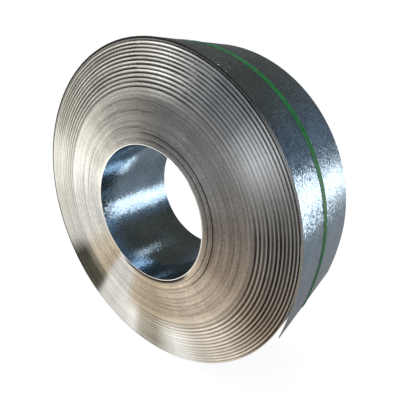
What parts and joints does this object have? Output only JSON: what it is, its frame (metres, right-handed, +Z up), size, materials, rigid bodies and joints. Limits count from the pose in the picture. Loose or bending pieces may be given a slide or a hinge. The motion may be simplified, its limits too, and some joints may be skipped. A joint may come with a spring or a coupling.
{
  "type": "steel coil",
  "caption": "Slit steel strip wound into a round coil with an open bore, turns stepping on its ends, a loose outer tail and a plastic strap round the rim.",
  "frame": {"origin": "centre of the bore at mid-width of the strip", "axes": "+Y along the bore from the front end to the rear end, +Z up, the rim standing on the floor, the loose tail on the +X side"},
  "size_m": [1.1857, 0.38, 1.1841],
  "materials": {
    "galvanised_steel": "hot-dip galvanised strip with small spangle, warm grey slit edges on the ends",
    "green_strap": "smooth extruded polyester strapping, mid green"
  },
  "bodies": {
    "root": {"steel_coil": "galvanised_steel", "strap": "green_strap"}
  },
  "joints": []
}
